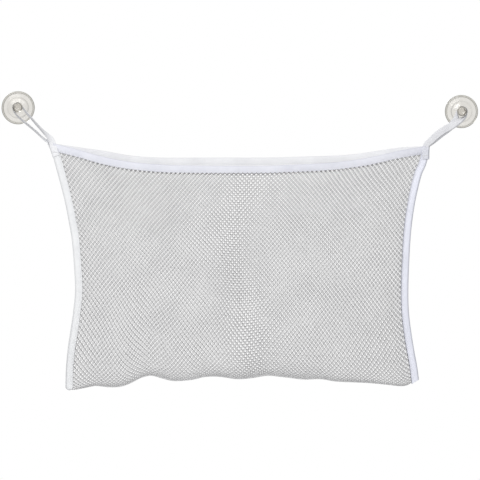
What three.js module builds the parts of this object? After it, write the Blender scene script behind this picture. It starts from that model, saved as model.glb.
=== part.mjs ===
// Hanging net bag for the bathroom wall: two clear suction cups, two tape loops round
// their necks, and a sewn net pouch with bound sides and hemmed mouth.
// Millimetres, +Z up, wall plane at y = 0, the room at y < 0. The origin lies on the
// wall plane midway between the two cup axes.

import * as THREE from 'three';

// ---------------------------------------------------------------- driving dimensions
const CUP_SPACING = 600;      // between the two cup axes
const CUP_D = 45;             // suction lip
const CUP_FLAT_R = 20.2;      // inner edge of the flat lip ring
const CUP_DOME_Y = -11.6;     // where the dome meets the neck
const NECK_R = 4.0;
const NECK_Y = -21.2;         // underside of the head
const HEAD_R = 6.9;
const HEAD_Y = -26.5;         // front of the head
const LOOP_Y = -16.4;         // middle plane of the loops
const LOOP_W = 8.6;           // tape width at the loops
const LOOP_T = 1.1;           // tape thickness
const TAPE_W = 10;            // folded tape of hems and bindings
const TAPE_T = 2.2;
const NET_T = 0.7;            // net sheet
const GAP = 0.4;              // between pieces that touch
const HINGE_Z = -47;          // line through the two upper corners
const CORNER_TOP_Z = -47.8;   // upper end of the sewn loop ends
const CORNER_LOW_Z = -65.6;   // lower end of the sewn loop ends
const CORNER_W = { left: 9, right: 11 };      // sewn loop ends
const CORNER_X = { left: [-253.2, -247.3], right: [251.6, 251.6] };   // their middle, top and low end
const EDGE_HALF = 2.2;        // half distance of the two net layers at the side bindings
const ROUND_T = 0.86;         // share of the height where the bottom starts to curve
const FRONT_Y = [[0, -47], [0.15, -56], [0.35, -68], [0.6, -80], [0.86, -85], [1, -85]];
const BACK_Y = [[0, -8], [0.2, -6.5], [0.5, -5.5], [1, -5.5]];
const BOTTOM_Y = -45;         // lowest line of the pouch
const EDGE_Y = [[0, -16.4], [0.2, -19], [0.5, -24], [0.8, -27], [1, -27]];

// outer edges of the side bindings, as [z, x]
const LEFT_OUT = [[-48, -257], [-70, -250.5], [-100, -242], [-125, -235.5], [-150, -230.3],
  [-177, -225.4], [-220, -221.5], [-247, -220.2], [-274, -222.3], [-296, -225.2],
  [-323, -229], [-352, -231.5], [-381, -232]];
const RIGHT_OUT = [[-48, 257.5], [-70, 252.8], [-84, 247], [-108, 240.9], [-132, 236.4],
  [-163, 232.7], [-201, 230.5], [-243, 229.5], [-271, 230.4], [-299, 233.9],
  [-326, 238.5], [-347, 242.5], [-373, 246]];
const LEFT_END_Z = -379.5;
const RIGHT_END_Z = -365.5;

// middle lines of the hems and the lowest line of the pouch, as [x, z]
const BACK_HEM = [[-246, -54], [-210, -59], [-185, -62.2], [-148, -68.3], [-107, -70.8],
  [-34, -70.1], [39, -69.5], [96, -67.4], [123, -66.4], [160, -63.4], [184, -59.6],
  [217, -54.6], [246, -52.6]];
const FRONT_HEM = [[-246, -54.2], [-215, -62], [-185, -70.2], [-148, -77.1], [-100, -81],
  [-61, -81.6], [-12, -81.7], [39, -81], [74, -79.3], [123, -76.2], [146, -73.3],
  [170, -69.4], [194, -64.2], [217, -58.6], [246, -53.4]];
const BOTTOM = [[-221, -378], [-205, -375.4], [-191, -373.4], [-171, -375.6], [-156, -374.6],
  [-143, -369.6], [-129, -362.4], [-116, -359.6], [-102, -363], [-87, -366.4], [-63, -365],
  [-43, -360.6], [-25, -360.2], [-1, -363.2], [20, -361.6], [40, -358.4], [68, -360.8],
  [89, -363], [112, -362.4], [133, -365.4], [154, -366.2], [181, -367.4], [202, -369.4],
  [218, -371], [226, -370.6], [236, -366.5]];

// route of each loop: [along the line from neck to corner, across it, off the middle
// plane, turn of the tape in degrees]. It starts at the corner, behind, goes round the
// neck and comes back in front.
const LOOP_LEFT = [[62.5, -0.9, 0.85, 90], [56, -1.2, 0.95, 90], [50, -2.8, 1.1, 84], [46, -4.6, 0.9, 60],
  [42, -5.8, 0.6, 34], [38, -6.3, 0.2, 15], [34, -6.5, 0, 8], [28, -6.9, 0, 8], [19, -7.8, 0, 7], [10, -8.5, 0, 3],
  [4, -8.3, 0, 0], [-0.6, -6.8, 0, 0], [-3.9, -4.3, 0, 0], [-5.2, -1.1, 0, 0],
  [-4.6, 2.3, 0, 0], [-2.5, 4.5, 0, 0], [0.6, 5.2, 0, 0], [5, 4.3, 0, 1], [11, 3.2, 0, 5],
  [19, 2.3, 0, 8], [28, 1.4, 0, 8], [34, 0.8, 0, 9], [38, 0.6, -0.3, 15], [42, 0.4, -0.7, 34], [46, 0.2, -1.0, 60],
  [50, 0, -1.1, 84], [56, 0, -0.95, 90], [62.5, 0, -0.85, 90]];
const LOOP_RIGHT = [[62.5, -0.6, 0.85, 90], [56, -0.9, 1.3, 90], [50, -2.1, 2.1, 96],
  [42, -3.3, 2.8, 108], [33, -4.1, 3.3, 110], [25, -4.9, 3.8, 106], [18.5, -4.6, 4.3, 96],
  [13.5, -3.4, 4.0, 84], [10, -1.6, 3.2, 66], [7.6, 0.6, 2.3, 42], [5.9, 2.4, 1.2, 18],
  [4.1, 4.0, 0.4, 4], [1.6, 5.0, 0, 0], [-1.4, 5.1, 0, 0], [-4, 3.6, 0, 0], [-5.4, 0.8, 0, 0],
  [-5.2, -2.4, 0, 0], [-3.6, -5.2, -0.1, 0], [-0.6, -7.2, -0.4, 5], [3, -8.0, -1.9, 20],
  [7, -7.9, -3.8, 42], [11.5, -7.2, -4.7, 60], [17, -5.8, -4.7, 76], [23, -4.4, -3.8, 86],
  [32, -2.2, -2.5, 90], [42, -1.4, -1.8, 90], [52, -0.9, -1.2, 90], [62.5, 0, -0.85, 90]];

// ---------------------------------------------------------------- helpers
const lerp = (a, b, k) => a + (b - a) * k;

// smooth curve through [key, value] pairs, straight past the ends
function curve(pairs) {
  const k = pairs.map((p) => p[0]);
  const v = pairs.map((p) => p[1]);
  const rising = k[k.length - 1] > k[0];
  const n = k.length;
  const slope = k.map((_, i) => {
    const a = Math.max(0, i - 1);
    const b = Math.min(n - 1, i + 1);
    return (v[b] - v[a]) / (k[b] - k[a]);
  });
  return (x) => {
    let i = 0;
    while (i < n - 2 && (rising ? x > k[i + 1] : x < k[i + 1])) i += 1;
    const h = k[i + 1] - k[i];
    const s = (x - k[i]) / h;
    if (s < 0) return v[0] + (x - k[0]) * slope[0];
    if (s > 1) return v[n - 1] + (x - k[n - 1]) * slope[n - 1];
    const s2 = s * s;
    const s3 = s2 * s;
    return v[i] * (2 * s3 - 3 * s2 + 1) + v[i + 1] * (3 * s2 - 2 * s3)
      + h * (slope[i] * (s3 - 2 * s2 + s) + slope[i + 1] * (s3 - s2));
  };
}

const leftOut = curve(LEFT_OUT);
const rightOut = curve(RIGHT_OUT);
const backHem = curve(BACK_HEM);
const frontHem = curve(FRONT_HEM);
const bottom = curve(BOTTOM);
const frontY = curve(FRONT_Y);
const backY = curve(BACK_Y);
const edgeY = curve(EDGE_Y);

// closed mesh from points and faces of any number of corners, turned to face outwards
function closed(points, faces) {
  const index = [];
  for (const f of faces) for (let i = 1; i < f.length - 1; i += 1) index.push(f[0], f[i], f[i + 1]);
  let volume = 0;
  for (let i = 0; i < index.length; i += 3) {
    const [a, b, c] = [points[index[i]], points[index[i + 1]], points[index[i + 2]]];
    volume += a.dot(new THREE.Vector3().crossVectors(b, c));
  }
  if (volume < 0) for (let i = 0; i < index.length; i += 3) [index[i + 1], index[i + 2]] = [index[i + 2], index[i + 1]];
  const geometry = new THREE.BufferGeometry();
  geometry.setAttribute('position', new THREE.Float32BufferAttribute(points.flatMap((p) => [p.x, p.y, p.z]), 3));
  geometry.setIndex(index);
  geometry.computeVertexNormals();
  return geometry;
}

// sheet of even thickness on a grid of points
function shell(grid, thickness) {
  const rows = grid.length;
  const cols = grid[0].length;
  const points = [];
  for (const side of [0.5, -0.5]) {
    for (let r = 0; r < rows; r += 1) {
      for (let c = 0; c < cols; c += 1) {
        const along = grid[r][Math.min(c + 1, cols - 1)].clone().sub(grid[r][Math.max(c - 1, 0)]);
        const down = grid[Math.min(r + 1, rows - 1)][c].clone().sub(grid[Math.max(r - 1, 0)][c]);
        const normal = along.cross(down).normalize();
        points.push(grid[r][c].clone().addScaledVector(normal, thickness * side));
      }
    }
  }
  const at = (s, r, c) => s * rows * cols + r * cols + c;
  const faces = [];
  for (let r = 0; r < rows - 1; r += 1) {
    for (let c = 0; c < cols - 1; c += 1) {
      faces.push([at(0, r, c), at(0, r, c + 1), at(0, r + 1, c + 1), at(0, r + 1, c)]);
      faces.push([at(1, r, c), at(1, r + 1, c), at(1, r + 1, c + 1), at(1, r, c + 1)]);
    }
  }
  const rim = [];
  for (let c = 0; c < cols - 1; c += 1) rim.push([0, c]);
  for (let r = 0; r < rows - 1; r += 1) rim.push([r, cols - 1]);
  for (let c = cols - 1; c > 0; c -= 1) rim.push([rows - 1, c]);
  for (let r = rows - 1; r > 0; r -= 1) rim.push([r, 0]);
  rim.forEach(([r, c], i) => {
    const [r2, c2] = rim[(i + 1) % rim.length];
    faces.push([at(0, r, c), at(1, r, c), at(1, r2, c2), at(0, r2, c2)]);
  });
  return closed(points, faces);
}

// flat tape along a route: width directions are given, thickness is square to both. With
// level set, each section keeps its width direction even where the route slants.
function tape(route, wide, width, thickness, lift = 0, level = false) {
  const points = [];
  const n = route.length;
  for (let i = 0; i < n; i += 1) {
    const along = route[Math.min(i + 1, n - 1)].clone().sub(route[Math.max(i - 1, 0)]).normalize();
    const w = level ? wide[i] : wide[i].clone().addScaledVector(along, -wide[i].dot(along)).normalize();
    const t = new THREE.Vector3().crossVectors(along, w).normalize();
    for (const [a, b] of [[1, 1], [-1, 1], [-1, -1], [1, -1]]) {
      points.push(route[i].clone().addScaledVector(w, a * width / 2).addScaledVector(t, b * thickness / 2 + lift));
    }
  }
  const faces = [[0, 1, 2, 3], [4 * n - 1, 4 * n - 2, 4 * n - 3, 4 * n - 4]];
  for (let i = 0; i < n - 1; i += 1) {
    for (let k = 0; k < 4; k += 1) {
      const m = (k + 1) % 4;
      faces.push([4 * i + k, 4 * i + 4 + k, 4 * i + 4 + m, 4 * i + m]);
    }
  }
  return closed(points, faces);
}

const V = (x, y, z) => new THREE.Vector3(x, y, z);
const UP = V(0, 0, 1);

const netMaterial = new THREE.MeshStandardMaterial({ color: 0xe9ebee, roughness: 0.85, metalness: 0 });
const tapeMaterial = new THREE.MeshStandardMaterial({ color: 0xeceef6, roughness: 0.8, metalness: 0 });
const threadMaterial = new THREE.MeshStandardMaterial({ color: 0xf2f3f8, roughness: 0.7, metalness: 0 });
const cupMaterial = new THREE.MeshStandardMaterial({ color: 0xdcdad2, roughness: 0.12, metalness: 0, transparent: true, opacity: 0.45 });

const bag = new THREE.Group();
function add(name, geometry, material) {
  const mesh = new THREE.Mesh(geometry, material.clone());
  mesh.name = name;
  bag.add(mesh);
  return mesh;
}

// ---------------------------------------------------------------- suction cups
function cupGeometry() {
  const profile = [[0, -6.4], [6, -6.1], [12, -4.6], [17, -2.2], [CUP_FLAT_R, 0], [CUP_D / 2 - 0.5, 0],
    [CUP_D / 2, -0.5], [CUP_D / 2 - 0.4, -1.5], [20.5, -3.0], [17.5, -5.3], [13.5, -7.6], [12.4, -8.9],
    [8.6, -10.4], [5.4, -11.1], [NECK_R, CUP_DOME_Y], [NECK_R, NECK_Y], [HEAD_R - 1, NECK_Y - 0.2],
    [HEAD_R, NECK_Y - 1.2], [HEAD_R, HEAD_Y + 2.4], [HEAD_R - 1.2, HEAD_Y + 0.7], [3, HEAD_Y], [0, HEAD_Y]];
  const lathe = new THREE.LatheGeometry(profile.map(([r, y]) => new THREE.Vector2(r, y)), 32);
  const p = lathe.attributes.position;
  let volume = 0;
  const q = (i) => V(p.getX(i), p.getY(i), p.getZ(i));
  const index = lathe.index.array;
  for (let i = 0; i < index.length; i += 3) volume += q(index[i]).dot(q(index[i + 1]).cross(q(index[i + 2])));
  if (volume < 0) for (let i = 0; i < index.length; i += 3) [index[i + 1], index[i + 2]] = [index[i + 2], index[i + 1]];
  return lathe;
}
add('left_suction_cup', cupGeometry(), cupMaterial).position.set(-CUP_SPACING / 2, 0, 0);
add('right_suction_cup', cupGeometry(), cupMaterial).position.set(CUP_SPACING / 2, 0, 0);

// ---------------------------------------------------------------- hanging loops
// side is -1 on the left and +1 on the right
function loopGeometry(table, side) {
  const neck = V(side * CUP_SPACING / 2, LOOP_Y, 0);
  const end = V(CORNER_X[side < 0 ? 'left' : 'right'][0], LOOP_Y, HINGE_Z + 0.8);
  const bendAt = end.clone().add(V(side * 0.7, 0, 2.6));
  const a = bendAt.clone().sub(neck).normalize();
  const b = V(-a.z, 0, a.x);
  if (b.z < 0) b.negate();
  const start = bendAt.clone().addScaledVector(a, -5);
  const straight = start.distanceTo(neck);
  const keys = table.map((row, i) => i);
  const fits = [0, 1, 2, 3].map((k) => curve(keys.map((i) => [i, table[i][k]])));
  const route = [];
  const wide = [];
  const square = [];
  const steps = (table.length - 1) * 3;
  for (let i = 0; i <= steps; i += 1) {
    const [u, v, y, turn] = fits.map((f) => f(i / 3));
    // the last millimetres bend down so that the ends lie square to the corner
    const k = Math.max(0, Math.min(1, (u - 50) / 12.5));
    const point = k > 0
      ? start.clone().multiplyScalar((1 - k) ** 2).addScaledVector(bendAt, 2 * k * (1 - k)).addScaledVector(end, k * k)
      : neck.clone().addScaledVector(a, u * straight / 50);
    point.addScaledVector(b, v * (1 - k));
    point.y += y;
    route.push(point);
    square.push(Math.max(0, Math.min(1, (44 - u) / 10)));
    const across = b.clone().lerp(V(-side, 0, 0), k).normalize();
    const angle = THREE.MathUtils.degToRad(turn);
    wide.push(V(0, 1, 0).multiplyScalar(Math.cos(angle)).addScaledVector(across, Math.sin(angle)));
  }
  // sections lie square to the run near the neck and turn level in the bend: both ends stop level,
  // just above the line through the corners
  for (let i = 1; i < steps; i += 1) {
    const along = route[i + 1].clone().sub(route[i - 1]).normalize();
    wide[i].addScaledVector(along, -wide[i].dot(along) * square[i]).normalize();
  }
  return tape(route, wide, LOOP_W, LOOP_T, 0, true);
}
add('left_hanging_loop', loopGeometry(LOOP_LEFT, -1), tapeMaterial);
add('right_hanging_loop', loopGeometry(LOOP_RIGHT, 1), tapeMaterial);

// ---------------------------------------------------------------- pouch surface
// s runs from 0 at the left binding to 1 at the right one, t from 0 at the hem to 1 at
// the lowest line. The two net layers part from the bindings towards the middle.
const leftNet = (t) => { const z = lerp(-60, LEFT_END_Z + 3, t); return V(leftOut(z) + TAPE_W + GAP, edgeY(t), z); };
const rightNet = (t) => { const z = lerp(-60, RIGHT_END_Z + 3, t); return V(rightOut(z) - TAPE_W - GAP, edgeY(t), z); };

function pouch(s, t, front, round = 1) {
  const l = leftNet(t);
  const r = rightNet(t);
  const u = 2 * s - 1;
  const x = lerp(l.x, r.x, s);
  const top = (front ? frontHem : backHem)(lerp(leftNet(0).x, rightNet(0).x, s)) - TAPE_W / 2 - GAP;
  const low = bottom(lerp(leftNet(1).x, rightNet(1).x, s));
  const z = lerp(top, low, t);
  const open = Math.min(1, t / 0.5);
  const bow = (1 - u * u) ** lerp(1, 0.6, open * open * (3 - 2 * open));
  const edge = lerp(l.y, r.y, s);
  const base = lerp(edge, BOTTOM_Y, bow);
  const full = front ? lerp(edge - EDGE_HALF, frontY(t), bow) : lerp(edge + EDGE_HALF, backY(t), bow);
  return V(x, lerp(base, full, round), z);
}

const COLS = 26;
const columns = Array.from({ length: COLS + 1 }, (_, i) => {
  const k = i / COLS;
  return 0.5 - 0.5 * Math.cos(Math.PI * (0.5 * k + 0.25 * (1 - Math.cos(Math.PI * k))));
}).map((k, i) => lerp(k, i / COLS, 0.55));

// front layer, from the hem down to where the bottom starts to curve
const frontRows = [];
for (let i = 0; i <= 11; i += 1) frontRows.push(columns.map((s) => pouch(s, lerp(0, ROUND_T - 0.0025, i / 11), true)));
add('front_net_panel', shell(frontRows, NET_T), netMaterial);

// back layer, and the fold at the bottom that carries the sheet round to the front
const backRows = [];
for (let i = 0; i <= 8; i += 1) backRows.push(columns.map((s) => pouch(s, lerp(0, ROUND_T - 0.0025, i / 8), false)));
add('back_net_panel', shell(backRows, NET_T), netMaterial);
const foldRows = [columns.map((s) => pouch(s, ROUND_T, false))];
for (let i = 1; i <= 9; i += 1) {
  const angle = Math.PI * i / 10;
  const t = lerp(ROUND_T, 1, Math.sin(angle));
  foldRows.push(columns.map((s) => pouch(s, t, angle > Math.PI / 2, Math.abs(Math.cos(angle)))));
}
foldRows.push(columns.map((s) => pouch(s, ROUND_T, true)));
add('bottom_net_fold', shell(foldRows, NET_T), netMaterial);

// ---------------------------------------------------------------- hems
const HEM_X = 243.6;
function hemRoute(front) {
  const route = [];
  for (let i = 0; i <= 30; i += 1) {
    const x = lerp(-HEM_X, HEM_X, i / 30);
    const u = x / (HEM_X + 1.5);
    const edge = EDGE_Y[0][1] + (front ? -EDGE_HALF : EDGE_HALF);
    route.push(V(x, lerp(edge, (front ? FRONT_Y : BACK_Y)[0][1], 1 - u * u), (front ? frontHem : backHem)(x)));
  }
  return route;
}
for (const [name, front] of [['front_hem', true], ['back_hem', false]]) {
  const route = hemRoute(front);
  add(`${name}_tape`, tape(route, route.map(() => UP), TAPE_W, TAPE_T), tapeMaterial);
  // a line of thread on the face towards the room, near the lower edge
  const thread = route.slice(1, -1).map((p) => p.clone().add(V(0, 0, -TAPE_W / 2 + 1.6)));
  const lift = TAPE_T / 2 + GAP + 0.2;
  const sample = tape(thread, thread.map(() => UP), 0.7, 0.4, lift);
  sample.computeBoundingBox();
  const other = tape(thread, thread.map(() => UP), 0.7, 0.4, -lift);
  other.computeBoundingBox();
  add(`${name}_stitching`, sample.boundingBox.min.y < other.boundingBox.min.y ? sample : other, threadMaterial);
}

// ---------------------------------------------------------------- side bindings
function bindingRoute(out, side, endZ) {
  const route = [];
  for (let i = 0; i <= 26; i += 1) {
    const z = lerp(CORNER_LOW_Z - GAP, endZ, i / 26);
    const t = Math.max(0, (z + 60) / (endZ + 3 + 60));
    route.push(V(out(z) - side * TAPE_W / 2, edgeY(t), z));
  }
  return route;
}
for (const [name, out, side, endZ] of [['left', leftOut, -1, LEFT_END_Z], ['right', rightOut, 1, RIGHT_END_Z]]) {
  const route = bindingRoute(out, side, endZ);
  const across = V(1, 0, 0);
  add(`${name}_side_binding`, tape(route, route.map(() => across), TAPE_W, TAPE_T, 0, true), tapeMaterial);
  const thread = route.slice(1, -1).map((p) => p.clone().add(V(-side * (TAPE_W / 2 - 1.6), 0, 0)));
  const lift = TAPE_T / 2 + GAP + 0.2;
  const sample = tape(thread, thread.map(() => across), 0.7, 0.4, lift);
  sample.computeBoundingBox();
  const other = tape(thread, thread.map(() => across), 0.7, 0.4, -lift);
  other.computeBoundingBox();
  add(`${name}_binding_stitching`, sample.boundingBox.min.y < other.boundingBox.min.y ? sample : other, threadMaterial);

  // end of the loop's tape, sewn down over the corner, with its bar tack
  const cornerX = (z) => lerp(...CORNER_X[name], (z - CORNER_TOP_Z) / (CORNER_LOW_Z - CORNER_TOP_Z));
  const plate = [CORNER_TOP_Z, -53, -59, CORNER_LOW_Z].map((z) => V(cornerX(z), LOOP_Y, z));
  add(`${name}_loop_sewn_end`, tape(plate, plate.map(() => across), CORNER_W[name], TAPE_T, 0, true), tapeMaterial);
  const tack = [-3.8, 0, 3.8].map((x) => V(cornerX(-60) + x, LOOP_Y - TAPE_T / 2 - GAP - 0.3, -60));
  add(`${name}_corner_bartack`, tape(tack, tack.map(() => UP), 2.2, 0.6), threadMaterial);
}

export default bag;
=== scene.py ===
"""Looks of a hanging net bag: clear suction cups, twisted tape loops, a knitted net pouch with
real holes, folded tape hems and bindings with their stitches. Lengths below are millimetres in
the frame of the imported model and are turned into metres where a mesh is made."""

import math

import bpy
import numpy as np
from mathutils import Matrix


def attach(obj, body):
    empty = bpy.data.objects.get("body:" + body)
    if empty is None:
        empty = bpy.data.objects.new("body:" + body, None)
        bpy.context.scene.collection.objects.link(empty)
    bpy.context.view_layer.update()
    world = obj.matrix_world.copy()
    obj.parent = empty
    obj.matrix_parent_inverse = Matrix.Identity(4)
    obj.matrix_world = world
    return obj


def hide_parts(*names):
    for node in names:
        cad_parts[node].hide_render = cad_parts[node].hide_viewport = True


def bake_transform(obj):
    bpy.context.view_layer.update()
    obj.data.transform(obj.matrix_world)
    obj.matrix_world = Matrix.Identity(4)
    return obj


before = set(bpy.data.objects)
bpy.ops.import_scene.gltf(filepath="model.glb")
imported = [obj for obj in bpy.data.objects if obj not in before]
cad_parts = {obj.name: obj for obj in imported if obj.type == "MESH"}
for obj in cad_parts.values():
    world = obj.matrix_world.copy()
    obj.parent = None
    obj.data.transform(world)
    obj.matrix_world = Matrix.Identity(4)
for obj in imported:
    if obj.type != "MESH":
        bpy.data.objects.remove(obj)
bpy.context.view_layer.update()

# ------------------------------------------------------------------ camera
VIEW_W = 0.6498          # width of the picture at the wall plane
VIEW_D = 7.0             # from the camera to the wall plane
VIEW_ROLL = math.radians(0.491)
VIEW_X, VIEW_Z = 0.00178, -0.1764

cam_data = bpy.data.cameras.new("camera")
cam_data.sensor_fit = "HORIZONTAL"
cam_data.sensor_width = 36.0
cam_data.lens = 36.0 * VIEW_D / VIEW_W
cam_data.clip_end = 100.0
camera = bpy.data.objects.new("camera", cam_data)
bpy.context.scene.collection.objects.link(camera)
c, s = math.cos(VIEW_ROLL), math.sin(VIEW_ROLL)
camera.matrix_world = Matrix(
    ((c, -s, 0, VIEW_X), (0, 0, -1, -VIEW_D), (s, c, 0, VIEW_Z), (0, 0, 0, 1))
)
bpy.context.scene.camera = camera

# ------------------------------------------------------------------ the bag's lines, as in CAD
LOOP_Y = -16.4
TAPE_W = 10.0
HINGE_Z = -47.0
ROUND_T = 0.86
EDGE_HALF = 0.5          # half distance of the two net layers inside the side bindings
BOTTOM_Y = -45.0
FRONT_Y = [[0, -47], [0.15, -56], [0.35, -68], [0.6, -80], [0.86, -85], [1, -85]]
BACK_Y = [[0, -8], [0.2, -6.5], [0.5, -5.5], [1, -5.5]]
EDGE_Y = [[0, -16.4], [0.2, -19], [0.5, -24], [0.8, -27], [1, -27]]
LEFT_OUT = [[-48, -257], [-70, -250.5], [-100, -242], [-125, -235.5], [-150, -230.3],
            [-177, -225.4], [-220, -221.5], [-247, -220.2], [-274, -222.3], [-296, -225.2],
            [-323, -229], [-352, -231.5], [-381, -232]]
RIGHT_OUT = [[-48, 257.5], [-70, 252.8], [-84, 247], [-108, 240.9], [-132, 236.4],
             [-163, 232.7], [-201, 230.5], [-243, 229.5], [-271, 230.4], [-299, 233.9],
             [-326, 238.5], [-347, 242.5], [-373, 246]]
LEFT_END_Z = -379.5
RIGHT_END_Z = -365.5
CORNER_TOP, CORNER_LOW = -47.8, -65.6
CORNER = {-1: (-253.2, -247.3), 1: (251.6, 251.6)}      # middle of the sewn loop ends, top and low
BACK_HEM = [[-246, -54], [-210, -59], [-185, -62.2], [-148, -68.3], [-107, -70.8],
            [-34, -70.1], [39, -69.5], [96, -67.4], [123, -66.4], [160, -63.4], [184, -59.6],
            [217, -54.6], [246, -52.6]]
FRONT_HEM = [[-246, -54.2], [-215, -62], [-185, -70.2], [-148, -77.1], [-100, -81],
             [-61, -81.6], [-12, -81.7], [39, -81], [74, -79.3], [123, -76.2], [146, -73.3],
             [170, -69.4], [194, -64.2], [217, -58.6], [246, -53.4]]
BOTTOM = [[-231, -380.4], [-221, -380.2], [-213, -378.6], [-205, -377], [-197, -375.2],
          [-191, -374.2], [-171, -375.8], [-156, -374.6],
          [-143, -369.6], [-129, -362.4], [-116, -359.6], [-102, -363], [-87, -366.4],
          [-63, -365], [-43, -360.6], [-25, -360.2], [-1, -363.2], [20, -361.6], [40, -358.4],
          [68, -360.8], [89, -363], [112, -362.4], [133, -365.4], [154, -366.2], [181, -367.4],
          [202, -369.4], [218, -371], [226, -370.6], [236, -366.5]]
LOOP_LEFT = [[62.5, -0.9, 0.85, 90], [60, -4.6, 1.7, 72], [57, -5.9, 2.7, 46],
             [53, -6.5, 2.4, 22], [50, -6.3, 1.5, 12], [43, -6.3, 0.4, 8], [36, -6.3, 0, 8],
             [28, -6.8, 0, 8], [19, -7.7, 0, 7], [10, -8.5, 0, 3], [4, -8.3, 0, 0],
             [-0.6, -6.8, 0, 0], [-3.9, -4.3, 0, 0], [-5.2, -1.1, 0, 0], [-4.6, 2.3, 0, 0],
             [-2.5, 4.5, 0, 0], [0.6, 5.2, 0, 0], [5, 4.3, 0, 1], [11, 3.3, 0, 5],
             [19, 2.4, 0, 9], [28, 1.5, 0, 11], [36, 0.9, 0, 14], [43, 0.7, -0.2, 24],
             [50, 0.8, -0.6, 42], [57, 1.2, -0.85, 62], [62.5, 0, -0.85, 80]]
LOOP_RIGHT = [[62.5, -0.6, 0.85, 90], [56, -2.2, 1.6, 96], [50, -2.9, 2.2, 102], [42, -3.3, 2.8, 108],
              [33, -4.1, 3.3, 110], [25, -5.0, 3.8, 106], [18.5, -4.8, 4.3, 96], [13.5, -3.8, 4.1, 84],
              [10, -2.2, 3.6, 68], [7.6, 0.2, 2.6, 42], [5.9, 2.2, 1.4, 18], [4.1, 3.9, 0.4, 4],
              [1.6, 5.0, 0, 0], [-1.4, 5.1, 0, 0], [-4, 3.6, 0, 0], [-5.4, 0.8, 0, 0],
              [-5.2, -2.4, 0, 0], [-3.6, -5.3, -0.2, 0], [-0.6, -7.4, -0.8, 5], [3, -8.2, -2.4, 20],
              [7, -8.0, -4.1, 42], [11.5, -7.2, -4.8, 60], [17, -5.9, -4.7, 76], [23, -4.5, -3.8, 86],
              [32, -2.2, -2.5, 90], [42, -1.4, -1.8, 90], [52, -1.8, -1.2, 90], [62.5, 0, -0.85, 90]]


def curve(pairs):
    """Smooth curve through [key, value] pairs, straight past the ends, on arrays."""
    k = np.array([p[0] for p in pairs], float)
    v = np.array([p[1] for p in pairs], float)
    if k[-1] < k[0]:
        k, v = k[::-1].copy(), v[::-1].copy()
    n = len(k)
    i = np.arange(n)
    lo, hi = np.maximum(i - 1, 0), np.minimum(i + 1, n - 1)
    slope = (v[hi] - v[lo]) / (k[hi] - k[lo])

    def at(x):
        x = np.asarray(x, float)
        j = np.clip(np.searchsorted(k, x, side="right") - 1, 0, n - 2)
        h = k[j + 1] - k[j]
        q = np.clip((x - k[j]) / h, 0, 1)
        q2, q3 = q * q, q * q * q
        y = (v[j] * (2 * q3 - 3 * q2 + 1) + v[j + 1] * (3 * q2 - 2 * q3)
             + h * (slope[j] * (q3 - 2 * q2 + q) + slope[j + 1] * (q3 - q2)))
        y = np.where(x < k[0], v[0] + (x - k[0]) * slope[0], y)
        return np.where(x > k[-1], v[-1] + (x - k[-1]) * slope[-1], y)

    return at


def lerp(a, b, k):
    return a + (b - a) * k


def smooth(k):
    k = np.clip(k, 0, 1)
    return k * k * (3 - 2 * k)


def unit(v):
    return v / np.maximum(np.linalg.norm(v, axis=-1, keepdims=True), 1e-12)


left_out, right_out = curve(LEFT_OUT), curve(RIGHT_OUT)
back_hem, front_hem, bottom = curve(BACK_HEM), curve(FRONT_HEM), curve(BOTTOM)
front_y, back_y, edge_y = curve(FRONT_Y), curve(BACK_Y), curve(EDGE_Y)


def corner_x(side, z):
    """Middle of a sewn loop end at a height."""
    return lerp(CORNER[side][0], CORNER[side][1], (z - CORNER_TOP) / (CORNER_LOW - CORNER_TOP))


bottom_mean = curve([[-221, -376], [-150, -368], [-60, -363], [60, -361.5], [150, -366], [236, -369]])


# ------------------------------------------------------------------ mesh making
def make(name, points, quads=None, tris=None, uv=None, outward=False):
    """Object from points in mm and faces; uv is one pair per corner, quads first."""
    quads = np.zeros((0, 4), np.int64) if quads is None else np.asarray(quads, np.int64)
    tris = np.zeros((0, 3), np.int64) if tris is None else np.asarray(tris, np.int64)
    points = np.asarray(points, float)
    if outward:
        every = np.concatenate([quads[:, [0, 1, 2]], quads[:, [0, 2, 3]], tris])
        a, b, d = points[every[:, 0]], points[every[:, 1]], points[every[:, 2]]
        if (a * np.cross(b, d)).sum() < 0:
            quads, tris = quads[:, ::-1], tris[:, ::-1]
            if uv is not None:
                uv = np.concatenate([uv[: quads.size].reshape(-1, 4, 2)[:, ::-1].reshape(-1, 2),
                                     uv[quads.size:].reshape(-1, 3, 2)[:, ::-1].reshape(-1, 2)])
    mesh = bpy.data.meshes.new(name)
    corners = np.concatenate([quads.ravel(), tris.ravel()]).astype(np.int32)
    starts = np.concatenate([np.arange(len(quads)) * 4,
                             len(quads) * 4 + np.arange(len(tris)) * 3]).astype(np.int32)
    mesh.vertices.add(len(points))
    mesh.vertices.foreach_set("co", (points / 1000.0).astype(np.float32).ravel())
    mesh.loops.add(len(corners))
    mesh.loops.foreach_set("vertex_index", corners)
    mesh.polygons.add(len(starts))
    mesh.polygons.foreach_set("loop_start", starts)
    mesh.polygons.foreach_set("use_smooth", np.ones(len(starts), bool))
    if uv is not None:
        layer = mesh.uv_layers.new(name="cloth")
        layer.data.foreach_set("uv", np.asarray(uv, np.float32).ravel())
    mesh.update(calc_edges=True)
    obj = bpy.data.objects.new(name, mesh)
    bpy.context.scene.collection.objects.link(obj)
    return obj


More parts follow.
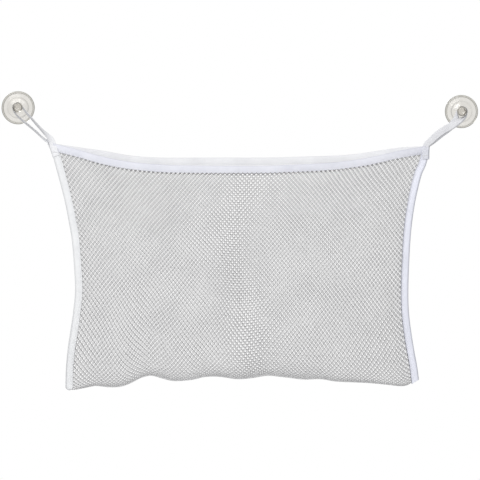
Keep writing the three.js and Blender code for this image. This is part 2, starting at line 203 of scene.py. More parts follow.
def sweep(route, wide, thick, outer, inner):
    """Closed strip along a route. outer and inner are matching rows of (across, off) pairs, the
    same for all sections or one set per section; the ends are closed between them."""
    n = len(route)
    outer, inner = np.asarray(outer, float), np.asarray(inner, float)
    if outer.ndim == 2:
        outer, inner = np.repeat(outer[None], n, 0), np.repeat(inner[None], n, 0)
    loop = np.concatenate([outer, inner[:, ::-1]], axis=1)
    m, half = loop.shape[1], outer.shape[1]
    points = (route[:, None, :] + loop[..., 0:1] * wide[:, None, :] + loop[..., 1:2] * thick[:, None, :])
    i, k = np.meshgrid(np.arange(n - 1), np.arange(m), indexing="ij")
    k2 = (k + 1) % m
    quads = np.stack([i * m + k, (i + 1) * m + k, (i + 1) * m + k2, i * m + k2], -1).reshape(-1, 4)
    along = np.concatenate([[0], np.cumsum(np.linalg.norm(np.diff(route, axis=0), axis=1))])
    mean = loop.mean(0)
    round_ = np.concatenate([[0], np.cumsum(np.linalg.norm(np.roll(mean, -1, 0) - mean, axis=1))])
    uv = np.stack([np.stack([along[i], round_[k]], -1), np.stack([along[i + 1], round_[k]], -1),
                   np.stack([along[i + 1], round_[k + 1]], -1), np.stack([along[i], round_[k + 1]], -1)], 2)
    j = np.arange(half - 1)
    caps = []
    for base, turn in ((0, False), ((n - 1) * m, True)):
        cap = np.stack([base + j, base + j + 1, base + m - 2 - j, base + m - 1 - j], -1)
        caps.append(cap[:, ::-1] if turn else cap)
    cap_uv = np.zeros((2 * (half - 1), 4, 2))
    cap_uv[..., 0] = np.array([0, 1, 1, 0])
    quads = np.concatenate([quads] + caps)
    uv = np.concatenate([uv.reshape(-1, 2), cap_uv.reshape(-1, 2)])
    return points.reshape(-1, 3), quads, uv


def route_frame(route, hint):
    """Unit vectors along, across (nearest to hint) and off the face of a route."""
    along = unit(np.gradient(route, axis=0))
    hint = np.broadcast_to(np.asarray(hint, float), route.shape)
    wide = unit(hint - (hint * along).sum(-1, keepdims=True) * along)
    return along, wide, np.cross(along, wide)


def resample(route, step):
    """Even steps along a dense route."""
    d = np.concatenate([[0], np.cumsum(np.linalg.norm(np.diff(route, axis=0), axis=1))])
    n = max(2, int(round(d[-1] / step)) + 1)
    t = np.linspace(0, d[-1], n)
    return np.stack([np.interp(t, d, route[:, i]) for i in range(3)], -1), t


def stitches(name, places, along, off, length=2.5, radius=0.24, sink=0.26):
    """Threads that rise out of the cloth and dive back, one per place, in one mesh."""
    x = np.array([-1, -0.93, -0.62, 0, 0.62, 0.93, 1]) * length / 2
    r = np.array([0, 0.62, 1, 1, 1, 0.62, 0]) * radius
    lift = radius * 0.45 - (sink + radius * 0.45) * (x / (length / 2)) ** 2
    turn = np.arange(6) * math.pi / 3
    local = []
    for a, b, d in zip(x[1:-1], r[1:-1], lift[1:-1]):
        local += [(a, b * math.cos(t), d + b * math.sin(t)) for t in turn]
    local += [(x[0], 0, lift[0]), (x[-1], 0, lift[-1])]
    local = np.array(local)
    side = np.cross(along, off)
    points = (places[:, None, :] + local[None, :, 0:1] * along[:, None, :]
              + local[None, :, 1:2] * side[:, None, :] + local[None, :, 2:3] * off[:, None, :])
    quads, tris = [], []
    for ring in range(4):
        for t in range(6):
            quads.append((ring * 6 + t, ring * 6 + (t + 1) % 6, ring * 6 + 6 + (t + 1) % 6, ring * 6 + 6 + t))
    for t in range(6):
        tris.append((30, (t + 1) % 6, t))
        tris.append((31, 24 + t, 24 + (t + 1) % 6))
    m = len(local)
    base = (np.arange(len(places)) * m)[:, None, None]
    q = (np.array(quads)[None] + base).reshape(-1, 4)
    t3 = (np.array(tris)[None] + base).reshape(-1, 3)
    uvq = np.stack([local[:, 0], np.arctan2(local[:, 2], local[:, 1]) * radius], -1)
    uv = np.concatenate([np.tile(uvq[np.array(quads)].reshape(-1, 2), (len(places), 1)),
                         np.tile(uvq[np.array(tris)].reshape(-1, 2), (len(places), 1))])
    return make(name, points.reshape(-1, 3), q, t3, uv, outward=True)


# ------------------------------------------------------------------ materials
class Nodes:
    """Small helper to write a node tree as expressions."""

    def __init__(self, name):
        self.material = bpy.data.materials.new(name)
        self.material.use_nodes = True
        self.tree = self.material.node_tree
        self.shader = self.tree.nodes["Principled BSDF"]

    def add(self, kind, inputs=(), **settings):
        node = self.tree.nodes.new(kind)
        for key, value in settings.items():
            setattr(node, key, value)
        for key, value in dict(inputs).items():
            if isinstance(value, bpy.types.NodeSocket):
                self.tree.links.new(value, node.inputs[key])
            else:
                node.inputs[key].default_value = value
        return node

    def math(self, operation, a, b=0.0, third=0.0):
        return self.add("ShaderNodeMath", {0: a, 1: b, 2: third}, operation=operation).outputs[0]

    def ramp(self, value, stops):
        node = self.add("ShaderNodeValToRGB", {"Fac": value})
        first = node.color_ramp.elements
        while len(first) < len(stops):
            first.new(0.5)
        for element, (place, colour) in zip(first, stops):
            element.position = place
            element.color = (*colour, 1)
        return node.outputs["Color"]

    def set(self, **values):
        for key, value in values.items():
            socket = self.shader.inputs[key.replace("_", " ")]
            if isinstance(value, bpy.types.NodeSocket):
                self.tree.links.new(value, socket)
            else:
                socket.default_value = value

    def bump(self, height, strength, distance):
        node = self.add("ShaderNodeBump", {"Height": height, "Strength": strength, "Distance": distance})
        self.tree.links.new(node.outputs["Normal"], self.shader.inputs["Normal"])


def tape_material(name, low, high, edges=(), edge_tone=0.8, length=None,
                  end_tone=(1, 1, 1), first=(26.0, 17.0), last=(26.0, 17.0), shaded_end_at=None):
    """Narrow woven tape: herringbone ribs from the cloth's own lengths, soft uneven white, and
    greyer edges as painted shade, given as (place across the tape, reach) in mm. On a tape of the given length,
    the sewn ends have another tone and less edge shade; first and last are where that starts and is full at the two
    ends. The last argument is the length of a tape whose edges get more painted shade towards its second end."""
    n = Nodes(name)
    uv = n.add("ShaderNodeSeparateXYZ", {0: n.add("ShaderNodeUVMap", uv_map="cloth").outputs[0]})
    along, across = uv.outputs[0], uv.outputs[1]
    place = n.add("ShaderNodeTexCoord").outputs["Object"]
    fold = n.math("PINGPONG", across, 2.4)
    slant = n.math("ADD", along, fold)
    rib = n.math("SINE", n.math("MULTIPLY", slant, 2 * math.pi / 1.05))
    weft = n.math("SINE", n.math("MULTIPLY", across, 2 * math.pi / 0.55))
    yarn = n.add("ShaderNodeTexNoise", {"Vector": place, "Scale": 1500.0, "Detail": 2.0}).outputs["Fac"]
    cloud = n.add("ShaderNodeTexNoise", {"Vector": place, "Scale": 38.0, "Detail": 4.0, "Roughness": 0.6}).outputs["Fac"]
    height = n.math("MULTIPLY_ADD", rib, 0.5, n.math("MULTIPLY_ADD", weft, 0.22, n.math("MULTIPLY", yarn, 0.7)))
    tone = n.math("MULTIPLY_ADD", height, 0.16, n.math("MULTIPLY", cloud, 0.8))
    colour = n.ramp(tone, [(0.25, low), (0.62, high)])
    edge_shade = None
    for where, reach in edges:
        near = n.math("SUBTRACT", 1.0, n.math("DIVIDE", n.math("ABSOLUTE", n.math("SUBTRACT", across, where)), reach))
        edge_shade = near if edge_shade is None else n.math("MAXIMUM", edge_shade, near)
    # more painted shade on the edges towards the tape's second end, and over that end itself
    if shaded_end_at is not None:
        rest = n.math("SUBTRACT", shaded_end_at, along)
        edge_shade = n.math("MAXIMUM", edge_shade, n.math("SUBTRACT", 1.0, n.math("DIVIDE", rest, 3.0)))
    sewn = None
    if length is not None:
        ends = [n.add("ShaderNodeMapRange", {"Value": rest, "From Min": a, "From Max": b},
                      interpolation_type="SMOOTHSTEP").outputs[0]
                for rest, (a, b) in ((along, first), (n.math("SUBTRACT", length, along), last))]
        sewn = n.math("MAXIMUM", *ends)
        colour = n.add("ShaderNodeMix", {0: sewn, 6: colour, 7: (*end_tone, 1)},
                       data_type="RGBA", blend_type="MULTIPLY").outputs[2]
    # painted shade on the tape's edges, where they turn from the light, patchy with the cloud noise and weaker on the
    # sewn ends
    if edge_shade is not None:
        uneven = n.math("MULTIPLY_ADD", n.math("SUBTRACT", cloud, 0.5), 0.5, edge_shade)
        mask = n.add("ShaderNodeMapRange", {"Value": uneven, "From Min": 0.15, "From Max": 0.65},
                     interpolation_type="SMOOTHSTEP").outputs[0]
        if sewn is not None:
            mask = n.math("MULTIPLY", mask, n.math("MULTIPLY_ADD", sewn, -0.75, 1.0))
        if shaded_end_at is not None:
            mask = n.math("MULTIPLY", mask, n.add("ShaderNodeMapRange", {
                "Value": rest, "From Min": 150.0, "From Max": 10.0, "To Min": 0.55, "To Max": 1.0}).outputs[0])
        colour = n.add("ShaderNodeMix", {0: mask, 6: colour, 7: (edge_tone, edge_tone, edge_tone * 1.01, 1)},
                       data_type="RGBA", blend_type="MULTIPLY").outputs[2]
    n.set(Base_Color=colour, Roughness=n.math("MULTIPLY_ADD", yarn, 0.16, 0.74))
    n.set(Sheen_Weight=0.2, Sheen_Roughness=0.45, Specular_IOR_Level=0.28)
    n.bump(height, 0.5, 0.00022)
    return n.material


def net_material():
    """Knitted polyester mesh: fine filaments along the strands and a slightly uneven white kept grey as painted shade
    for a net lit from behind, with more painted shade just under the hems.
    """
    n = Nodes("net_knit")
    place = n.add("ShaderNodeTexCoord").outputs["Object"]
    fibre = n.add("ShaderNodeTexNoise", {"Vector": place, "Scale": 2300.0, "Detail": 3.0, "Roughness": 0.6}).outputs["Fac"]
    loops = n.add("ShaderNodeTexVoronoi", {"Vector": place, "Scale": 1150.0}).outputs["Distance"]
    cloud = n.add("ShaderNodeTexNoise", {"Vector": place, "Scale": 26.0, "Detail": 4.0, "Roughness": 0.6}).outputs["Fac"]
    height = n.math("MULTIPLY_ADD", fibre, 0.6, n.math("MULTIPLY", loops, -0.8))
    tone = n.math("MULTIPLY_ADD", height, 0.18, cloud)
    # the white strands get a grey colour, painted shade for the net seen against the bright light behind it
    white = n.ramp(tone, [(0.3, (0.585, 0.585, 0.593)), (0.68, (0.688, 0.688, 0.693))])
    # painted shade on the strands just under the hems, read from a point attribute of the net pieces
    painted_shade = n.add("ShaderNodeAttribute", attribute_name="hem_shade").outputs["Fac"]
    grey = n.add("ShaderNodeMix", {0: n.math("MULTIPLY", painted_shade, n.math("MULTIPLY_ADD", cloud, 0.5, 0.7)), 6: white,
                                   7: (0.30, 0.30, 0.31, 1)}, data_type="RGBA", blend_type="MULTIPLY").outputs[2]
    n.set(Base_Color=grey, Roughness=n.math("MULTIPLY_ADD", fibre, 0.2, 0.6))
    n.set(Sheen_Weight=0.15, Sheen_Roughness=0.4, Specular_IOR_Level=0.35)
    n.bump(height, 0.55, 0.0002)
    return n.material


def thread_material():
    """Twisted sewing thread."""
    n = Nodes("sewing_thread")
    uv = n.add("ShaderNodeSeparateXYZ", {0: n.add("ShaderNodeUVMap", uv_map="cloth").outputs[0]})
    place = n.add("ShaderNodeTexCoord").outputs["Object"]
    ply = n.math("SINE", n.math("MULTIPLY", n.math("ADD", uv.outputs[0], uv.outputs[1]), 2 * math.pi / 0.5))
    cloud = n.add("ShaderNodeTexNoise", {"Vector": place, "Scale": 90.0, "Detail": 3.0}).outputs["Fac"]
    tone = n.math("MULTIPLY_ADD", ply, 0.14, cloud)
    n.set(Base_Color=n.ramp(tone, [(0.3, (0.74, 0.75, 0.78)), (0.7, (0.88, 0.885, 0.91))]),
          Roughness=n.math("MULTIPLY_ADD", ply, -0.06, 0.5))
    n.set(Sheen_Weight=0.1, Specular_IOR_Level=0.45)
    n.bump(ply, 0.6, 0.00012)
    return n.material


def pvc_material():
    """Clear soft PVC, faintly warm where it is thick, with weak moulding flow marks and a slight bloom; the outer rim
    is darker, painted shade for the dark outline of the clear rim.
    """
    n = Nodes("clear_pvc")
    place = n.add("ShaderNodeTexCoord").outputs["Object"]
    flow = n.add("ShaderNodeTexNoise", {"Vector": place, "Scale": 70.0, "Detail": 2.0, "Roughness": 0.5}).outputs["Fac"]
    clear = n.ramp(flow, [(0.3, (0.86, 0.84, 0.80)), (0.7, (0.90, 0.882, 0.845))])
    # painted shade: the cup's outer rim is darker in colour, from a point attribute of the moulding
    lip = n.add("ShaderNodeAttribute", attribute_name="lip").outputs["Fac"]
    n.set(Base_Color=n.add("ShaderNodeMix", {0: lip, 6: clear, 7: (0.76, 0.76, 0.74, 1)},
                           data_type="RGBA", blend_type="MULTIPLY").outputs[2],
          Roughness=n.math("MULTIPLY_ADD", flow, 0.08, 0.07))
    n.set(Transmission_Weight=1.0, IOR=1.5, Specular_IOR_Level=0.5)
    n.bump(flow, 0.05, 0.0006)
    body = n.add("ShaderNodeVolumeAbsorption", {"Color": (0.815, 0.80, 0.77, 1), "Density": 95.0})
    n.tree.links.new(body.outputs[0], n.tree.nodes["Material Output"].inputs["Volume"])
    return n.material


# the front hem's copy is darker and more lilac than the back hem's; the darker tone is painted shade for a hem that
# faces down from the light, and both get painted shade along their edges
front_cloth = tape_material("woven_front_hem", (0.69, 0.70, 0.775), (0.795, 0.805, 0.87),
                            edges=((0.0, 1.4), (10.7, 2.2), (21.5, 1.4)), edge_tone=0.86)
back_cloth = tape_material("woven_back_hem", (0.77, 0.775, 0.80), (0.87, 0.875, 0.895),
                           edges=((0.0, 1.4), (12.7, 2.2), (25.5, 1.4)), edge_tone=0.88)
net_cloth = net_material()
thread = thread_material()
pvc = pvc_material()


def dress(obj, material):
    obj.data.materials.append(material)
    return obj


# ------------------------------------------------------------------ net pouch
COLS = 81
S_IN = 4.4 / 470          # how far the net runs on inside the bindings
ROW = 3.5                 # distance of the rows of meshes


def net_edges(t):
    zl, zr = lerp(-60, LEFT_END_Z + 3, t), lerp(-60, RIGHT_END_Z + 3, t)
    return left_out(zl) + TAPE_W + 0.4, right_out(zr) - TAPE_W - 0.4


L0, R0 = net_edges(0.0)
L1, R1 = net_edges(1.0)


def pouch(s, t, side, rounding=1.0):
    """Middle of the net. side is 1 on the front layer and 0 on the back layer. t runs from the
    back hem to the lowest line on both, so that a row lies at one height on both layers."""
    lx, rx = net_edges(t)
    u = np.clip(2 * s - 1, -1, 1)
    x = lerp(lx, rx, s)
    xt, xb = lerp(L0, R0, s), lerp(L1, R1, s)
    top_b, top_f = back_hem(xt) - 5.4, front_hem(xt) - 5.4
    low = bottom(xb)
    z = lerp(top_b, low, t)
    tf = np.clip((z - top_f) / (low - top_f), -0.1, 1)
    edge = edge_y(np.clip(t, 0, 1))

    def bow(k):
        o = np.clip(k / 0.5, 0, 1)
        return (1 - u * u) ** lerp(1, 0.6, o * o * (3 - 2 * o))

    swell = 0.55 * (bottom(xb) - bottom_mean(xb)) * smooth((t - 0.45) / 0.5) * (1 - u ** 6)
    y_f = lerp(edge - EDGE_HALF, front_y(tf), bow(tf)) + swell
    y_b = lerp(edge + EDGE_HALF, back_y(np.clip(t, 0, 1)), bow(t))
    base = lerp(edge, BOTTOM_Y, bow(t))
    full = np.where(side > 0.5, y_f, y_b)
    return np.stack([x, lerp(base, full, rounding), z], -1)


# rows of the sheet, counted from the back hem down, round the bottom and up the front
BACK_ROWS = 76.0          # from the back hem's lower edge to where the bottom curves
FOLD_ROWS = 36.0          # round the bottom
T_CUT = 0.86


def sheet_point(s, g):
    """Point of the net at s across and g rows along the sheet."""
    s, g = np.broadcast_arrays(np.asarray(s, float), np.asarray(g, float))
    a = np.clip((g - BACK_ROWS) / FOLD_ROWS, 0, 1)
    angle = a * math.pi
    down = np.where(g < BACK_ROWS + FOLD_ROWS / 2, g, 2 * BACK_ROWS + FOLD_ROWS - g) / BACK_ROWS
    # meshes are a little shorter near the hem, where the sheet is pulled wide
    down = T_CUT * (0.9 * down + 0.1 * down * np.abs(down))
    t = np.where((a > 0) & (a < 1), lerp(T_CUT, 1, np.sin(angle)), down)
    rounding = np.where((a > 0) & (a < 1), np.abs(np.cos(angle)), 1.0)
    return pouch(s, t, np.where(a > 0.5, 1.0, 0.0), rounding)


LAST = int(2 * BACK_ROWS + FOLD_ROWS)
rows = np.arange(-3, LAST + 4)
cols = np.arange(-1, COLS + 2)
J, I = np.meshgrid(rows, cols, indexing="ij")
CENTRE = np.where(J % 2 == 0, I + 0.5, I + 1.0)
TIP = 0.7866              # from a mesh's middle to its pointed end, in rows


def across(cc, gg):
    """Share of the width, with the slow drift that a hung net has."""
    dd = np.minimum(gg, 2 * BACK_ROWS + FOLD_ROWS - gg)
    drift = (0.10 * np.sin(cc * 0.23 + dd * 0.11) + 0.08 * np.sin(cc * 0.11 - dd * 0.17 + 1.3))
    inside = np.clip(np.minimum(cc, COLS + 0.5 - cc) / 6, 0, 1)
    return lerp(-S_IN, 1 + S_IN, (cc + drift * inside) / (COLS + 0.5))


def layer_shift(cc, gg):
    """How far the front layer's meshes are pulled from the ones behind them, in columns and rows:
    half a row down, and a quarter of a mesh outwards on each side of the middle."""
    on = smooth((gg - BACK_ROWS) / FOLD_ROWS)
    front_at = sheet_point(across(cc, gg), np.maximum(gg, BACK_ROWS + FOLD_ROWS))
    rear_at = sheet_point(across(cc, gg), 2 * BACK_ROWS + FOLD_ROWS - np.maximum(gg, BACK_ROWS + FOLD_ROWS))
    depth = rear_at[..., 1] - front_at[..., 1]
    x, z = front_at[..., 0], front_at[..., 2]
    k = np.tanh((x + 12 * np.sin(z / 37.0)) / 38.0)
    dx = 1.36 * k * (1 + 0.12 * np.sin(x / 23.0 + z / 31.0)) - x * depth / (VIEW_D * 1000)
    dz = -1.75 * (1 + 0.12 * np.sin(x / 31.0 - z / 27.0)) - (z + 176.4) * depth / (VIEW_D * 1000)
    return on * dx / 5.5, on * dz / ROW


def lattice(cc, gg):
    dc, dg = layer_shift(cc, gg)
    return sheet_point(across(cc + dc, gg + dg), gg + dg)


def lattice_normal(cc, gg):
    e = 0.25
    return unit(np.cross(lattice(cc + e, gg) - lattice(cc - e, gg), lattice(cc, gg + e) - lattice(cc, gg - e)))


RIDGE = 0.46              # half thickness of a strand


def pressed(cc, gg):
    """Share of the thickness left where the fold at the bottom runs into the bindings."""
    s = across(cc, gg)
    inside = smooth((0.010 - np.minimum(s, 1 - s)) / 0.010)
    turn = np.clip((gg - BACK_ROWS) / FOLD_ROWS, 0, 1) * math.pi
    return lerp(1, np.maximum(np.abs(np.cos(turn)) * 0.85, 0.06), inside * smooth(np.sin(turn) / 0.25))[..., None]


HOLE_A, HOLE_B = 1.56 / 5.35, 2.16 / ROW
tips = {}
for key, sign in (("T", 1), ("B", -1)):
    gg = J + sign * TIP
    mid, normal = lattice(CENTRE, gg), lattice_normal(CENTRE, gg) * pressed(CENTRE, gg)
    tips[key] = (mid + RIDGE * normal, mid - RIDGE * normal)
hole_angles = [90, 45, 0, -45, -90, -135, 180, 135]
hole_scale = [1.0, 0.985, 1.0, 0.985, 1.0, 0.985, 1.0, 0.985]
holes = np.stack([lattice(CENTRE + HOLE_A * k * math.cos(math.radians(a)),
                          J + HOLE_B * k * math.sin(math.radians(a)))
                  for a, k in zip(hole_angles, hole_scale)], 2)
middles = lattice(CENTRE, J)


def net_piece(name, chosen):
    """Closed mesh of the chosen meshes of the net: strands with a ridge on both faces."""
    n_r, n_c = J.shape
    jj, ii = np.nonzero(chosen)
    even = rows[jj] % 2 == 0
    right = np.where(even, ii, ii + 1)
    left = np.where(even, ii - 1, ii)
    count = n_r * n_c
    flat = lambda r, c_: r * n_c + c_
    # numbering: T+ T- B+ B- then holes
    t_id, b_id = flat(jj, ii), 2 * count + flat(jj, ii)
    hexes = np.stack([t_id, 2 * count + flat(jj + 1, right), flat(jj - 1, right), b_id,
                      flat(jj - 1, left), 2 * count + flat(jj + 1, left)], -1)
    ring = 4 * count + flat(jj, ii)[:, None] * 8 + np.arange(8)[None]
    quads, tris = [], []
    for lower in (0, 1):
        h = hexes + lower * count
        q = [np.stack([h[:, 0], h[:, 1], ring[:, 1], ring[:, 0]], -1),
             np.stack([h[:, 2], h[:, 3], ring[:, 4], ring[:, 3]], -1),
             np.stack([h[:, 3], h[:, 4], ring[:, 5], ring[:, 4]], -1),
             np.stack([h[:, 5], h[:, 0], ring[:, 0], ring[:, 7]], -1)]
        t3 = [np.stack([h[:, 1], ring[:, 2], ring[:, 1]], -1),
              np.stack([h[:, 1], h[:, 2], ring[:, 2]], -1),
              np.stack([h[:, 2], ring[:, 3], ring[:, 2]], -1),
              np.stack([h[:, 4], ring[:, 6], ring[:, 5]], -1),
              np.stack([h[:, 4], h[:, 5], ring[:, 6]], -1),
              np.stack([h[:, 5], ring[:, 7], ring[:, 6]], -1)]
        q, t3 = np.concatenate(q), np.concatenate(t3)
        quads.append(q[:, ::-1] if lower else q)
        tris.append(t3[:, ::-1] if lower else t3)
    # close the border: the sides of meshes that have no chosen neighbour
    near = [chosen[jj + 1, right], chosen[jj, ii + 1], chosen[jj - 1, right],
            chosen[jj - 1, left], chosen[jj, ii - 1], chosen[jj + 1, left]]
    for k in range(6):
        open_ = ~near[k]
        a, b = hexes[open_, k], hexes[open_, (k + 1) % 6]
        quads.append(np.stack([b, a, a + count, b + count], -1))
    points = np.concatenate([tips["T"][0].reshape(-1, 3), tips["T"][1].reshape(-1, 3),
                             tips["B"][0].reshape(-1, 3), tips["B"][1].reshape(-1, 3),
                             holes.reshape(-1, 3)])
    quads, tris = np.concatenate(quads), np.concatenate(tris)
    used, back = np.unique(np.concatenate([quads.ravel(), tris.ravel()]), return_inverse=True)
    points = points[used]
    obj = make(name, points, back[: quads.size].reshape(-1, 4), back[quads.size:].reshape(-1, 3), outward=True)
    # the row under the hem gets painted shade, darkest just below the hem's lower edge and weaker near the sides
    hem_line = (front_hem if name.startswith("front") else back_hem)(points[:, 0])
    below = hem_line - 5.0 - points[:, 2]
    painted_shade = obj.data.attributes.new("hem_shade", "FLOAT", "POINT")
    shade_amount = (1 - smooth((below - 1.4) / 1.8)) * lerp(0.35, 1, smooth((238 - np.abs(points[:, 0])) / 60))
    painted_shade.data.foreach_set("value", shade_amount.astype(np.float32))
    return dress(obj, net_cloth)


inner = (I >= 0) & (I < COLS)
fold_end = BACK_ROWS + FOLD_ROWS
mid_x, mid_z = middles[..., 0], middles[..., 2]
is_front = J > BACK_ROWS + FOLD_ROWS / 2
# the front turns about a line low on the pouch, and its net ends there
CUT_LOW = int(round(fold_end - 2))
front_top = mid_z < front_hem(mid_x) + 0.6
back_top = mid_z < back_hem(mid_x) + 0.6
front_cells = inner & (J >= CUT_LOW) & front_top
back_cells = inner & (J <= BACK_ROWS) & back_top
fold_cells = inner & (J > BACK_ROWS) & (J < CUT_LOW)
half_col = COLS // 2
front_left = net_piece("front_net_left", front_cells & (I < half_col))
front_right = net_piece("front_net_right", front_cells & (I >= half_col))
fold_net = net_piece("bottom_net", fold_cells)
back_net = net_piece("back_net", back_cells)


def on_front(obj):
    """Bake a piece of the front layer into place in its mesh."""
    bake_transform(obj)


on_front(front_left)
on_front(front_right)
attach(fold_net, "bag")
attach(back_net, "bag")
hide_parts("front_net_panel")
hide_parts("front_net_panel")
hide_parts("bottom_net_fold")
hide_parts("back_net_panel")

# ------------------------------------------------------------------ folded tape
STITCH = 3.2              # from one stitch to the next
SEAM = -3.3               # the seam's place across the tape, from its middle to the open edge


HEM_BODY = [0.86, 1.0, 0.93, 0.80, 0.95, 1.06, 1.04, 0.9, 0.58, 0.0]
BINDING_BODY = [0.86, 1.0, 0.93, 0.80, 0.95, 1.35, 1.75, 1.55, 1.0, 0.0]


def folded_section(along, width, gap, skin, seed, body=HEM_BODY, fold=(1.1, 0.35)):
    """Tape folded double: matching outer and inner rows of points for each place along. The seam
    draws the two sides together, a little more at each stitch."""
    half = width / 2
    w = np.array([-half, -half + 0.25, SEAM - 0.9, SEAM, SEAM + 0.9, -0.6, 2.0, half - fold[0], half - fold[1], half])
    body = np.array(body)
    rng = np.random.default_rng(seed)
    phases = rng.uniform(0, 6.283, 4)
    n = len(along)
    wave = (0.10 * np.sin(along / 17.0 + phases[0]) + 0.08 * np.sin(along / 7.3 + phases[1]))
    draw = 0.5 + 0.5 * np.cos(2 * math.pi * along / STITCH)
    edge = 0.16 * np.cos(2 * math.pi * along / STITCH + 0.6) + 0.12 * np.sin(along / 11.0 + phases[2])
    front = np.zeros((n, 10, 2))
    front[..., 0] = w
    front[:, 0, 0] += edge
    front[:, 1, 0] += edge * 0.8
    t = gap + skin * body[None, :] * np.ones((n, 1))
    t[:, -1] = 0
    t[:, 3] -= 0.16 + 0.16 * draw
    t[:, 2] -= 0.05 * draw
    t[:, 4] -= 0.05 * draw
    t[:, 5] += 0.08 * (1 - draw) + wave * 0.6
    t[:, 6] += wave
    front[..., 1] = -t
    rear = front[:, :-1][:, ::-1].copy()
    rear[..., 1] *= -1
    outer = np.concatenate([front, rear], 1)
    inside = np.zeros((n, 10, 2))
    inside[..., 0] = np.minimum(front[..., 0], half - skin)
    inside[:, -2, 0] = half - skin * 1.3
    thin = np.minimum(np.array([gap] * 8 + [gap * 0.55, 0.0])[None], t * 0.8)
    inside[..., 1] = -thin
    rear_in = inside[:, :-1][:, ::-1].copy()
    rear_in[..., 1] *= -1
    return outer, np.concatenate([inside, rear_in], 1)


def seam_places(route, along_mm, wide, thick, lift, start, end):
    """Middles of the stitches on one face of a tape."""
    at = np.arange(start, end, STITCH)
    pick = lambda a: np.stack([np.interp(at, along_mm, a[:, i]) for i in range(3)], -1)
    w, d = unit(pick(wide)), unit(pick(thick))
    return pick(route) + SEAM * w + lift * d, d


def hem_route(front):
    x = np.linspace(-252.4, 252.4, 1500)
    u = np.clip(x / 246.5, -1, 1)
    edge = LOOP_Y + (-0.85 if front else 0.85)
    y = lerp(edge, -47.0 if front else -8.0, 1 - u * u)
    z = (front_hem if front else back_hem)(x)
    return resample(np.stack([x, y, z - (0 if front else 1.0)], -1), 0.8)


def seam(name, route, along_mm, wide, thick, lift, start, end):
    made = []
    for face in (1, -1):
        places, off = seam_places(route, along_mm, wide, thick * face, lift, start, end)
        made.append((places, off))
    places = np.concatenate([m[0] for m in made])
    off = np.concatenate([m[1] for m in made])
    run = unit(np.gradient(made[0][0], axis=0))
    run = np.concatenate([run, run])
    run = unit(run - (run * off).sum(-1, keepdims=True) * off)
    return dress(stitches(name, places, run, off), thread)


for front in (True, False):
    name = "front" if front else "back"
    full, full_mm = hem_route(front)
    lean = (0, -0.22, 1) if front else (0, 0.1, 1)
    f_along, f_wide, f_thick = route_frame(full, lean)
    squeeze = lerp(0.62, 1, smooth((246 - np.abs(full[:, 0])) / 26))
    parts = []
    if front:
        mid = int(np.argmin(np.abs(full[:, 0])))
        parts = [("left", slice(0, mid + 1)), ("right", slice(mid, None))]
    else:
        parts = [("", slice(None))]
    for side, cut in parts:
        label = f"{name}_hem{'_' + side if side else ''}"
        r, mm, w, d = full[cut], full_mm[cut], f_wide[cut], f_thick[cut]
        outer_all, inner_all = folded_section(full_mm, 10.0 if front else 12.0, 0.5, 0.62, 11 if front else 12)
        outer_all[..., 1] *= squeeze[:, None]
        inner_all[..., 1] *= squeeze[:, None]
        points, quads, uv = sweep(r, w, d, outer_all[cut], inner_all[cut])
        hem = dress(make(label, points, quads, None, uv, outward=True), front_cloth if front else back_cloth)
        inset = 9.0
        lo = mm[0] + (inset if side != "right" else 1.0)
        hi = mm[-1] - (inset if side != "left" else 1.0)
        sew = seam(label + "_stitches", r, mm, w, d, 0.92, lo, hi)
        if front:
            on_front(hem)
            on_front(sew)
        else:
            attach(hem, "bag")
            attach(sew, "bag")
        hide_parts(f"{name}_hem_tape")
        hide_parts(f"{name}_hem_stitching")

